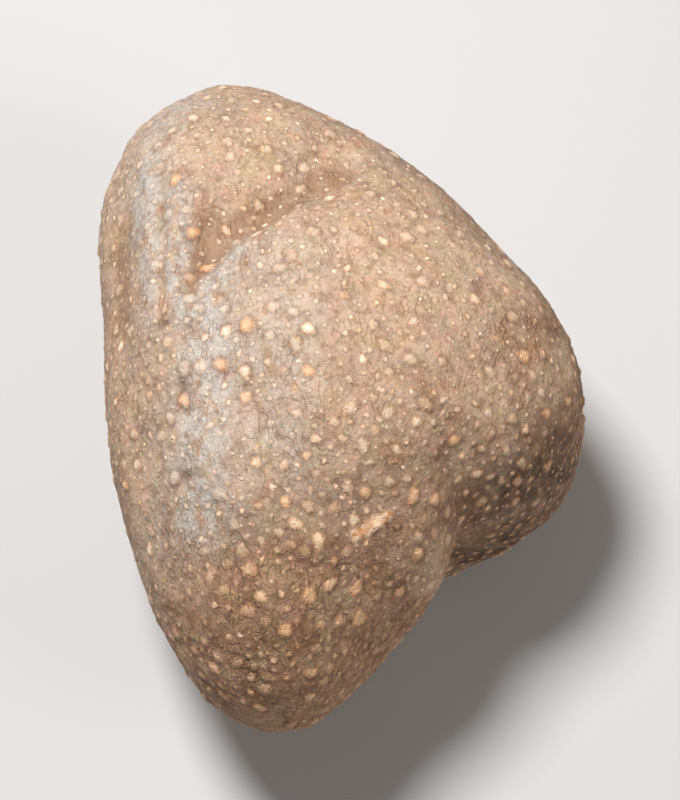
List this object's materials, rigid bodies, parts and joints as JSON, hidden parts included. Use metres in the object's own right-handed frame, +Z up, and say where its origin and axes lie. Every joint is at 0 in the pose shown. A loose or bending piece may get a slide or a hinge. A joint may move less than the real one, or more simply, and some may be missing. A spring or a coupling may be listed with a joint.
{
  "type": "air potato tuber",
  "caption": "Lumpy brown air potato, a yam tuber with pale raised dots, a blunt crown and a broad two-lobed end, lying on a small flat spot.",
  "frame": {"origin": "on the surface it rests on, under the middle of its box", "axes": "+Z up; +Y along its length, towards the blunt crown with the stem scar; +X to the right when the crown points away from the viewer"},
  "size_m": [0.073, 0.101, 0.058],
  "materials": {
    "corky_skin": "dry matt corky skin, tan to grey-brown, with pale raised dots"
  },
  "bodies": {
    "root": {"air_potato": "corky_skin"}
  },
  "joints": []
}
